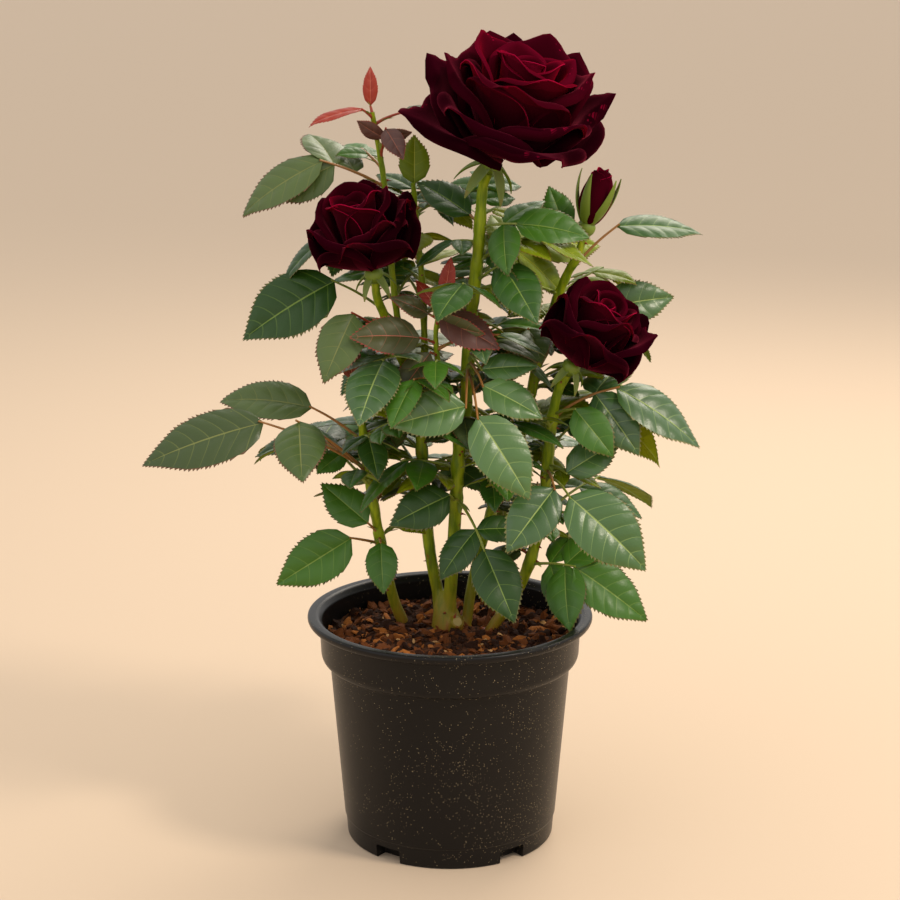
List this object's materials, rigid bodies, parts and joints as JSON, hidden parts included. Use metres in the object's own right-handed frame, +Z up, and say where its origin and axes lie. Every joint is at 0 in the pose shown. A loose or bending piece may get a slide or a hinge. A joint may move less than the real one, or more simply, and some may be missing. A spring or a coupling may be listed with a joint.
{
  "type": "potted rose bush",
  "caption": "Small rose bush with dark crimson blooms and toothed compound leaves on green canes, in a black plastic nursery pot filled with bark compost.",
  "frame": {"origin": "centre of the flat underside of the pot", "axes": "+Z up, along the height of the plant; -Y towards the side that shows in the picture"},
  "size_m": [0.3575, 0.2384, 0.5311],
  "materials": {
    "black_plastic": "satin black, injection moulded",
    "bark_compost": "moist composted bark",
    "crown_wood": "green-brown bark",
    "green_cane": "smooth green bark",
    "rose_leaves": "glossy leaf",
    "green_calyx": "matte green",
    "crimson_petals": "velvet",
    "bud_petals": "velvet"
  },
  "bodies": {
    "root": {"bloom_bud": "bud_petals", "bloom_left": "crimson_petals", "bloom_right": "crimson_petals", "bloom_top": "crimson_petals", "calyx_bud": "green_calyx", "calyx_left": "green_calyx", "calyx_right": "green_calyx", "calyx_top": "green_calyx", "cane_back": "green_cane", "cane_bud": "green_cane", "cane_centre": "green_cane", "cane_left": "green_cane", "cane_right": "green_cane", "crown": "crown_wood", "foliage_back_low": "rose_leaves", "foliage_back_mid": "rose_leaves", "foliage_bud_low": "rose_leaves", "foliage_bud_mid": "rose_leaves", "foliage_bud_top": "rose_leaves", "foliage_centre_low": "rose_leaves", "foliage_centre_mid": "rose_leaves", "foliage_centre_top": "rose_leaves", "foliage_left_low": "rose_leaves", "foliage_left_top": "rose_leaves", "foliage_right_low": "rose_leaves", "foliage_right_top": "rose_leaves", "foliage_top_left": "rose_leaves", "foliage_upper": "rose_leaves", "pot": "black_plastic", "soil": "bark_compost"}
  },
  "joints": []
}
